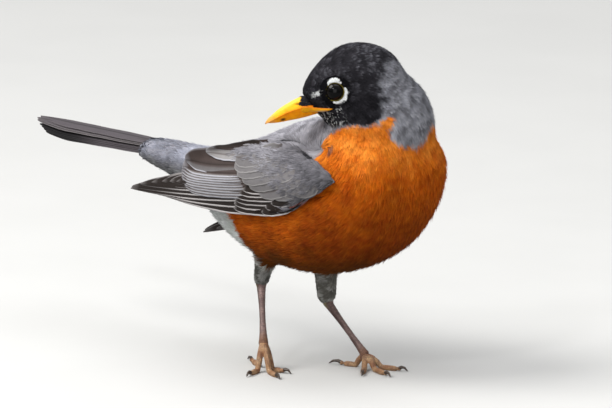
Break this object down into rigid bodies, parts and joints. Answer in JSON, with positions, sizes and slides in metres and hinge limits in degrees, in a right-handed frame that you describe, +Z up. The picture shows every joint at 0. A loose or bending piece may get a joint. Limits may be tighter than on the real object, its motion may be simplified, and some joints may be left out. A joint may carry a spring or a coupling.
{
  "type": "american robin",
  "caption": "Life-size still model of an american robin, standing on both feet and looking back over its right shoulder.",
  "frame": {"origin": "on the floor, under the middle of the whole bird's bounding box", "axes": "+X along the trunk's heading, tail to breast, +Y to the bird's left, +Z up"},
  "size_m": [0.2294, 0.0784, 0.1502],
  "materials": {
    "feather_black": "soft black feather with gray fringes",
    "feather_slate": "soft slate gray feather with darker shafts",
    "feather_rust": "soft rufous orange feather",
    "feather_dusky": "smooth dusky flight feather with pale edges",
    "bill_horn": "satin yellow horn",
    "eye": "wet glossy dark brown",
    "leg_skin": "scaled dark purplish brown skin",
    "toe_skin": "scaled orange brown skin",
    "claw_horn": "satin dark horn"
  },
  "bodies": {
    "root": {"head": "feather_black", "neck": "feather_slate", "trunk": "feather_rust", "rump": "feather_slate", "tail": "feather_dusky", "bill_upper": "bill_horn", "bill_lower": "bill_horn", "eye_left": "eye", "eye_right": "eye", "wing_right_coverts": "feather_slate", "wing_right_secondaries": "feather_dusky", "wing_right_primaries": "feather_dusky", "wing_left_coverts": "feather_slate", "wing_left_secondaries": "feather_dusky", "wing_left_primaries": "feather_dusky", "leg_right_thigh": "feather_slate", "leg_left_thigh": "feather_slate", "leg_right_tarsus": "leg_skin", "leg_left_tarsus": "leg_skin", "foot_right_toe_1": "toe_skin", "foot_right_toe_2": "toe_skin", "foot_right_toe_3": "toe_skin", "foot_right_toe_4": "toe_skin", "foot_left_toe_1": "toe_skin", "foot_left_toe_2": "toe_skin", "foot_left_toe_3": "toe_skin", "foot_left_toe_4": "toe_skin", "foot_right_claw_1": "claw_horn", "foot_right_claw_2": "claw_horn", "foot_right_claw_3": "claw_horn", "foot_right_claw_4": "claw_horn", "foot_left_claw_1": "claw_horn", "foot_left_claw_2": "claw_horn", "foot_left_claw_3": "claw_horn", "foot_left_claw_4": "claw_horn"}
  },
  "joints": []
}
